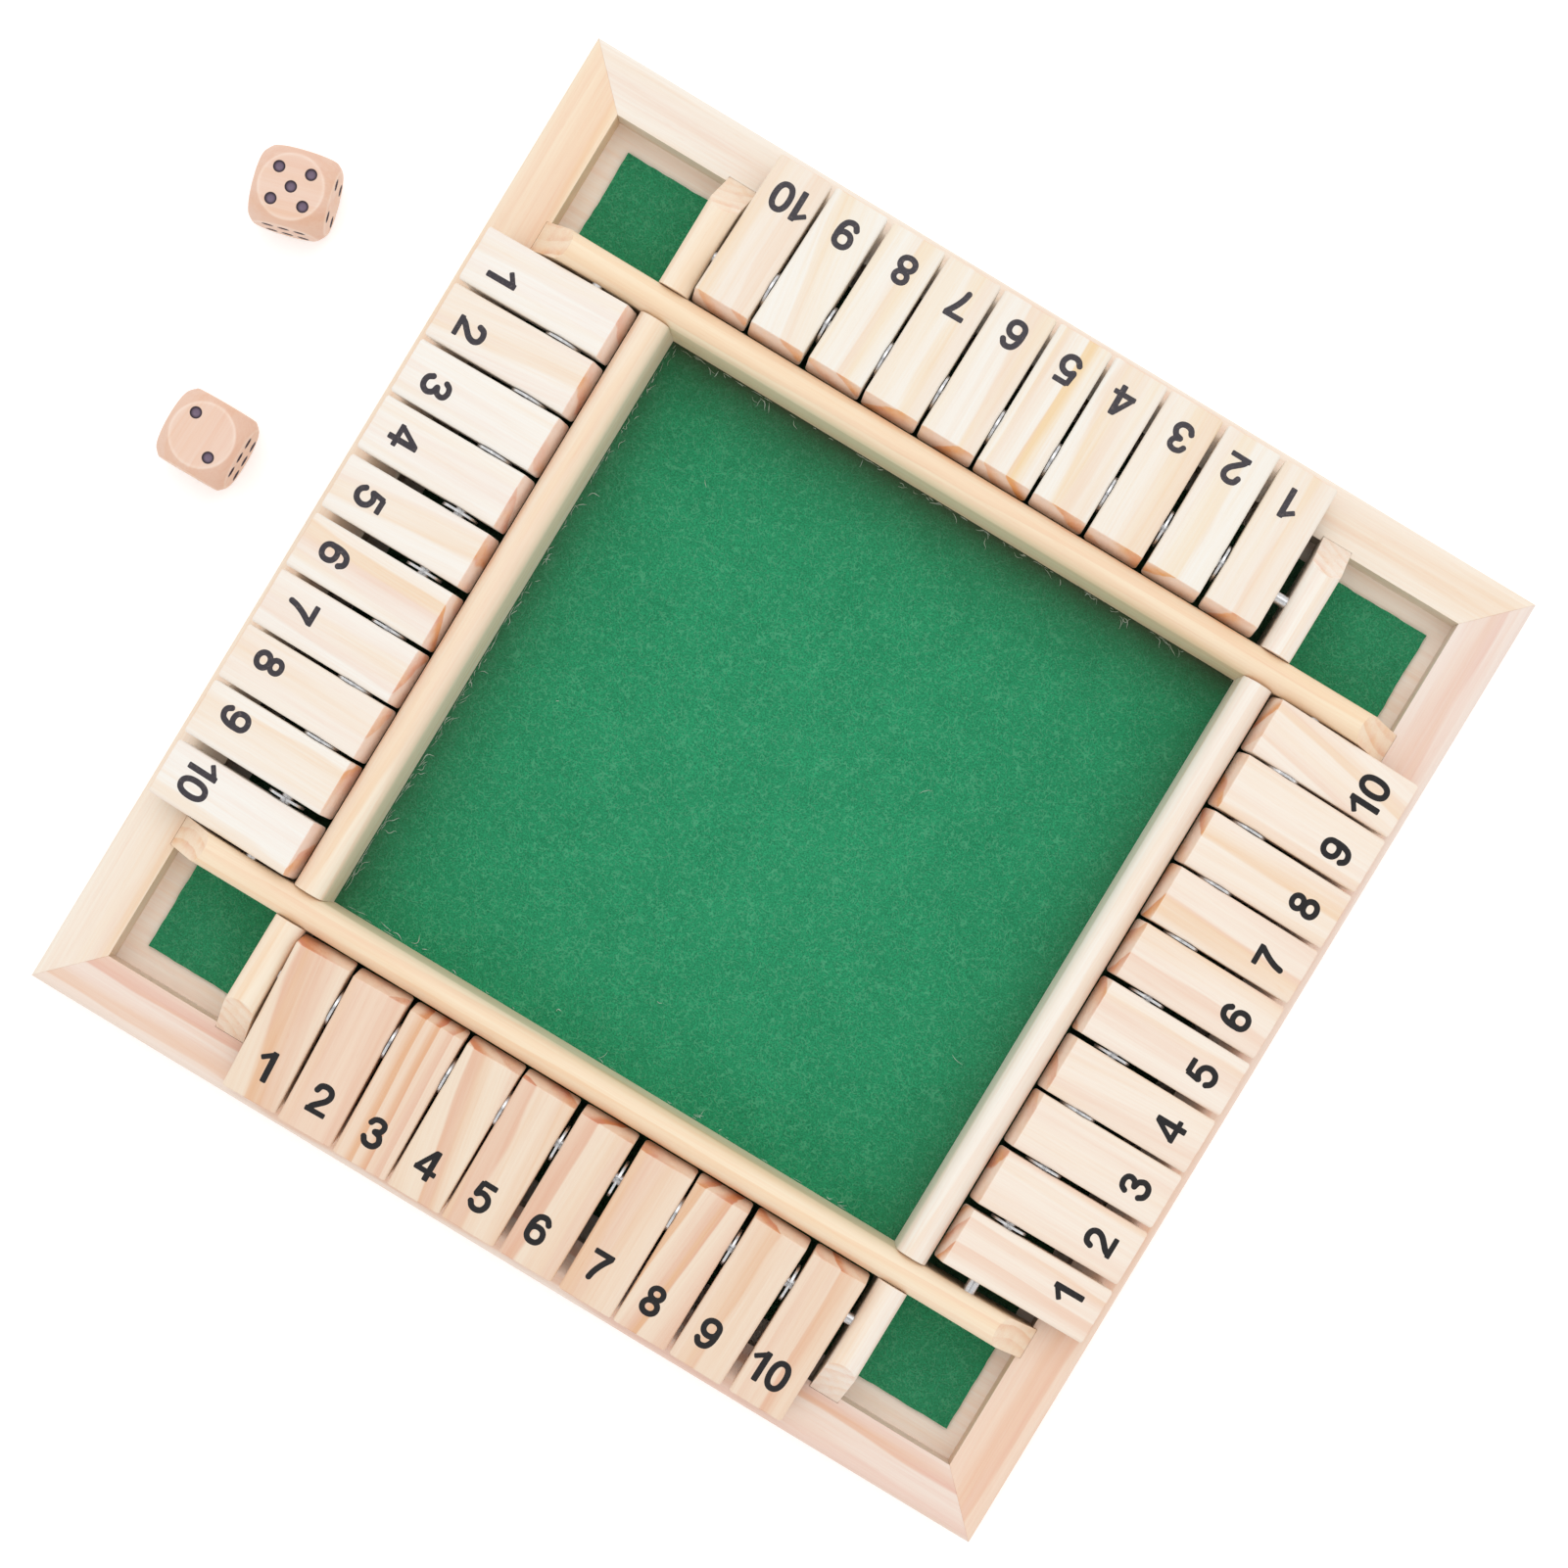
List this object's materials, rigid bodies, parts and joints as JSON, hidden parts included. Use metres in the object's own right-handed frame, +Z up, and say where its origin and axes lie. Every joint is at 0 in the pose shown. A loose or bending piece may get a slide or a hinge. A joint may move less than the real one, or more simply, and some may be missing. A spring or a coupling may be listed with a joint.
{
  "type": "shut the box game",
  "caption": "Square wooden shut the box game: framed felt tray, round-topped rails, numbered flaps that swing on steel rods, corner pockets and loose dice.",
  "frame": {"origin": "centre of the board's underside, on the table", "axes": "+Z up from the table; +X towards the east side and away from the loose dice, +Y towards the north side; the south player sees flap 1 at -X"},
  "size_m": [0.2658, 0.22, 0.0279],
  "materials": {
    "frame_pine": "sanded pale pine, unvarnished satin",
    "rail_pine": "sanded pale pine, slightly warmer",
    "flap_pine": "sanded pale pine with dark printed numbers",
    "base_plywood": "bare thin plywood",
    "green_felt": "green needle felt",
    "rod_steel": "bright drawn steel rod",
    "washer_steel": "bright stamped steel washer",
    "die_beech": "tumbled beech with glossy dark pips"
  },
  "bodies": {
    "board": {"base_board": "base_plywood", "felt_sheet": "green_felt", "frame_south": "frame_pine", "frame_east": "frame_pine", "frame_north": "frame_pine", "frame_west": "frame_pine", "rail_south": "rail_pine", "rail_east": "rail_pine", "rail_north": "rail_pine", "rail_west": "rail_pine", "rod_south": "rod_steel", "rod_east": "rod_steel", "rod_north": "rod_steel", "rod_west": "rod_steel", "spacer_washers": "washer_steel"},
    "flap_south_1_body": {"flap_south_1": "flap_pine"},
    "flap_south_2_body": {"flap_south_2": "flap_pine"},
    "flap_south_3_body": {"flap_south_3": "flap_pine"},
    "flap_south_4_body": {"flap_south_4": "flap_pine"},
    "flap_south_5_body": {"flap_south_5": "flap_pine"},
    "flap_south_6_body": {"flap_south_6": "flap_pine"},
    "flap_south_7_body": {"flap_south_7": "flap_pine"},
    "flap_south_8_body": {"flap_south_8": "flap_pine"},
    "flap_south_9_body": {"flap_south_9": "flap_pine"},
    "flap_south_10_body": {"flap_south_10": "flap_pine"},
    "flap_east_1_body": {"flap_east_1": "flap_pine"},
    "flap_east_2_body": {"flap_east_2": "flap_pine"},
    "flap_east_3_body": {"flap_east_3": "flap_pine"},
    "flap_east_4_body": {"flap_east_4": "flap_pine"},
    "flap_east_5_body": {"flap_east_5": "flap_pine"},
    "flap_east_6_body": {"flap_east_6": "flap_pine"},
    "flap_east_7_body": {"flap_east_7": "flap_pine"},
    "flap_east_8_body": {"flap_east_8": "flap_pine"},
    "flap_east_9_body": {"flap_east_9": "flap_pine"},
    "flap_east_10_body": {"flap_east_10": "flap_pine"},
    "flap_north_1_body": {"flap_north_1": "flap_pine"},
    "flap_north_2_body": {"flap_north_2": "flap_pine"},
    "flap_north_3_body": {"flap_north_3": "flap_pine"},
    "flap_north_4_body": {"flap_north_4": "flap_pine"},
    "flap_north_5_body": {"flap_north_5": "flap_pine"},
    "flap_north_6_body": {"flap_north_6": "flap_pine"},
    "flap_north_7_body": {"flap_north_7": "flap_pine"},
    "flap_north_8_body": {"flap_north_8": "flap_pine"},
    "flap_north_9_body": {"flap_north_9": "flap_pine"},
    "flap_north_10_body": {"flap_north_10": "flap_pine"},
    "flap_west_1_body": {"flap_west_1": "flap_pine"},
    "flap_west_2_body": {"flap_west_2": "flap_pine"},
    "flap_west_3_body": {"flap_west_3": "flap_pine"},
    "flap_west_4_body": {"flap_west_4": "flap_pine"},
    "flap_west_5_body": {"flap_west_5": "flap_pine"},
    "flap_west_6_body": {"flap_west_6": "flap_pine"},
    "flap_west_7_body": {"flap_west_7": "flap_pine"},
    "flap_west_8_body": {"flap_west_8": "flap_pine"},
    "flap_west_9_body": {"flap_west_9": "flap_pine"},
    "flap_west_10_body": {"flap_west_10": "flap_pine"},
    "die_five_up_body": {"die_five_up": "die_beech"},
    "die_two_up_body": {"die_two_up": "die_beech"}
  },
  "joints": [
    {"name": "flap_south_1_swing", "type": "hinge", "parent": "board", "child": "flap_south_1_body", "pos_m": [-0.05983, -0.08296, 0.02195], "axis": [-1, 0, 0], "range_deg": [0, 137.5]},
    {"name": "flap_south_2_swing", "type": "hinge", "parent": "board", "child": "flap_south_2_body", "pos_m": [-0.04683, -0.08296, 0.02195], "axis": [-1, 0, 0], "range_deg": [0, 156.5]},
    {"name": "flap_south_3_swing", "type": "hinge", "parent": "board", "child": "flap_south_3_body", "pos_m": [-0.03383, -0.08296, 0.02195], "axis": [-1, 0, 0], "range_deg": [0, 156.5]},
    {"name": "flap_south_4_swing", "type": "hinge", "parent": "board", "child": "flap_south_4_body", "pos_m": [-0.02094, -0.08296, 0.02195], "axis": [-1, 0, 0], "range_deg": [0, 156.5]},
    {"name": "flap_south_5_swing", "type": "hinge", "parent": "board", "child": "flap_south_5_body", "pos_m": [-0.00824, -0.08296, 0.02195], "axis": [-1, 0, 0], "range_deg": [0, 156.5]},
    {"name": "flap_south_6_swing", "type": "hinge", "parent": "board", "child": "flap_south_6_body", "pos_m": [0.00526, -0.08296, 0.02195], "axis": [-1, 0, 0], "range_deg": [0, 156.5]},
    {"name": "flap_south_7_swing", "type": "hinge", "parent": "board", "child": "flap_south_7_body", "pos_m": [0.01895, -0.08296, 0.02195], "axis": [-1, 0, 0], "range_deg": [0, 156.5]},
    {"name": "flap_south_8_swing", "type": "hinge", "parent": "board", "child": "flap_south_8_body", "pos_m": [0.03165, -0.08296, 0.02195], "axis": [-1, 0, 0], "range_deg": [0, 156.5]},
    {"name": "flap_south_9_swing", "type": "hinge", "parent": "board", "child": "flap_south_9_body", "pos_m": [0.04494, -0.08296, 0.02195], "axis": [-1, 0, 0], "range_deg": [0, 156.5]},
    {"name": "flap_south_10_swing", "type": "hinge", "parent": "board", "child": "flap_south_10_body", "pos_m": [0.05864, -0.08296, 0.02195], "axis": [-1, 0, 0], "range_deg": [0, 156.5]},
    {"name": "flap_east_1_swing", "type": "hinge", "parent": "board", "child": "flap_east_1_body", "pos_m": [0.08296, -0.05755, 0.02195], "axis": [0, -1, 0], "range_deg": [0, 137.5]},
    {"name": "flap_east_2_swing", "type": "hinge", "parent": "board", "child": "flap_east_2_body", "pos_m": [0.08296, -0.04399, 0.02195], "axis": [0, -1, 0], "range_deg": [0, 156.5]},
    {"name": "flap_east_3_swing", "type": "hinge", "parent": "board", "child": "flap_east_3_body", "pos_m": [0.08296, -0.03086, 0.02195], "axis": [0, -1, 0], "range_deg": [0, 156.5]},
    {"name": "flap_east_4_swing", "type": "hinge", "parent": "board", "child": "flap_east_4_body", "pos_m": [0.08296, -0.01805, 0.02195], "axis": [0, -1, 0], "range_deg": [0, 156.5]},
    {"name": "flap_east_5_swing", "type": "hinge", "parent": "board", "child": "flap_east_5_body", "pos_m": [0.08296, -0.0048, 0.02195], "axis": [0, -1, 0], "range_deg": [0, 156.5]},
    {"name": "flap_east_6_swing", "type": "hinge", "parent": "board", "child": "flap_east_6_body", "pos_m": [0.08296, 0.00844, 0.02195], "axis": [0, -1, 0], "range_deg": [0, 156.5]},
    {"name": "flap_east_7_swing", "type": "hinge", "parent": "board", "child": "flap_east_7_body", "pos_m": [0.08296, 0.02136, 0.02195], "axis": [0, -1, 0], "range_deg": [0, 156.5]},
    {"name": "flap_east_8_swing", "type": "hinge", "parent": "board", "child": "flap_east_8_body", "pos_m": [0.08296, 0.03417, 0.02195], "axis": [0, -1, 0], "range_deg": [0, 156.5]},
    {"name": "flap_east_9_swing", "type": "hinge", "parent": "board", "child": "flap_east_9_body", "pos_m": [0.08296, 0.04709, 0.02195], "axis": [0, -1, 0], "range_deg": [0, 156.5]},
    {"name": "flap_east_10_swing", "type": "hinge", "parent": "board", "child": "flap_east_10_body", "pos_m": [0.08296, 0.0598, 0.02195], "axis": [0, -1, 0], "range_deg": [0, 156.5]},
    {"name": "flap_north_1_swing", "type": "hinge", "parent": "board", "child": "flap_north_1_body", "pos_m": [0.05765, 0.08296, 0.02195], "axis": [1, 0, 0], "range_deg": [0, 137.5]},
    {"name": "flap_north_2_swing", "type": "hinge", "parent": "board", "child": "flap_north_2_body", "pos_m": [0.04439, 0.08296, 0.02195], "axis": [1, 0, 0], "range_deg": [0, 156.5]},
    {"name": "flap_north_3_swing", "type": "hinge", "parent": "board", "child": "flap_north_3_body", "pos_m": [0.03112, 0.08296, 0.02195], "axis": [1, 0, 0], "range_deg": [0, 156.5]},
    {"name": "flap_north_4_swing", "type": "hinge", "parent": "board", "child": "flap_north_4_body", "pos_m": [0.01823, 0.08296, 0.02195], "axis": [1, 0, 0], "range_deg": [0, 156.5]},
    {"name": "flap_north_5_swing", "type": "hinge", "parent": "board", "child": "flap_north_5_body", "pos_m": [0.00535, 0.08296, 0.02195], "axis": [1, 0, 0], "range_deg": [0, 156.5]},
    {"name": "flap_north_6_swing", "type": "hinge", "parent": "board", "child": "flap_north_6_body", "pos_m": [-0.00754, 0.08296, 0.02195], "axis": [1, 0, 0], "range_deg": [0, 156.5]},
    {"name": "flap_north_7_swing", "type": "hinge", "parent": "board", "child": "flap_north_7_body", "pos_m": [-0.02052, 0.08296, 0.02195], "axis": [1, 0, 0], "range_deg": [0, 156.5]},
    {"name": "flap_north_8_swing", "type": "hinge", "parent": "board", "child": "flap_north_8_body", "pos_m": [-0.03341, 0.08296, 0.02195], "axis": [1, 0, 0], "range_deg": [0, 156.5]},
    {"name": "flap_north_9_swing", "type": "hinge", "parent": "board", "child": "flap_north_9_body", "pos_m": [-0.04677, 0.08296, 0.02195], "axis": [1, 0, 0], "range_deg": [0, 156.5]},
    {"name": "flap_north_10_swing", "type": "hinge", "parent": "board", "child": "flap_north_10_body", "pos_m": [-0.05965, 0.08296, 0.02195], "axis": [1, 0, 0], "range_deg": [0, 156.5]},
    {"name": "flap_west_1_swing", "type": "hinge", "parent": "board", "child": "flap_west_1_body", "pos_m": [-0.08296, 0.05948, 0.02195], "axis": [0, 1, 0], "range_deg": [0, 137.5]},
    {"name": "flap_west_2_swing", "type": "hinge", "parent": "board", "child": "flap_west_2_body", "pos_m": [-0.08296, 0.04645, 0.02195], "axis": [0, 1, 0], "range_deg": [0, 156.5]},
    {"name": "flap_west_3_swing", "type": "hinge", "parent": "board", "child": "flap_west_3_body", "pos_m": [-0.08296, 0.03342, 0.02195], "axis": [0, 1, 0], "range_deg": [0, 156.5]},
    {"name": "flap_west_4_swing", "type": "hinge", "parent": "board", "child": "flap_west_4_body", "pos_m": [-0.08296, 0.0204, 0.02195], "axis": [0, 1, 0], "range_deg": [0, 156.5]},
    {"name": "flap_west_5_swing", "type": "hinge", "parent": "board", "child": "flap_west_5_body", "pos_m": [-0.08296, 0.00673, 0.02195], "axis": [0, 1, 0], "range_deg": [0, 156.5]},
    {"name": "flap_west_6_swing", "type": "hinge", "parent": "board", "child": "flap_west_6_body", "pos_m": [-0.08296, -0.00694, 0.02195], "axis": [0, 1, 0], "range_deg": [0, 156.5]},
    {"name": "flap_west_7_swing", "type": "hinge", "parent": "board", "child": "flap_west_7_body", "pos_m": [-0.08296, -0.01997, 0.02195], "axis": [0, 1, 0], "range_deg": [0, 156.5]},
    {"name": "flap_west_8_swing", "type": "hinge", "parent": "board", "child": "flap_west_8_body", "pos_m": [-0.08296, -0.03278, 0.02195], "axis": [0, 1, 0], "range_deg": [0, 156.5]},
    {"name": "flap_west_9_swing", "type": "hinge", "parent": "board", "child": "flap_west_9_body", "pos_m": [-0.08296, -0.0457, 0.02195], "axis": [0, 1, 0], "range_deg": [0, 156.5]},
    {"name": "flap_west_10_swing", "type": "hinge", "parent": "board", "child": "flap_west_10_body", "pos_m": [-0.08296, -0.05958, 0.02195], "axis": [0, 1, 0], "range_deg": [0, 156.5]},
    {"name": "die_five_up_lift", "type": "slide", "parent": "board", "child": "die_five_up_body", "axis": [0, 0, 1], "range_m": [0, 0.05]},
    {"name": "die_two_up_lift", "type": "slide", "parent": "board", "child": "die_two_up_body", "axis": [0, 0, 1], "range_m": [0, 0.05]}
  ]
}
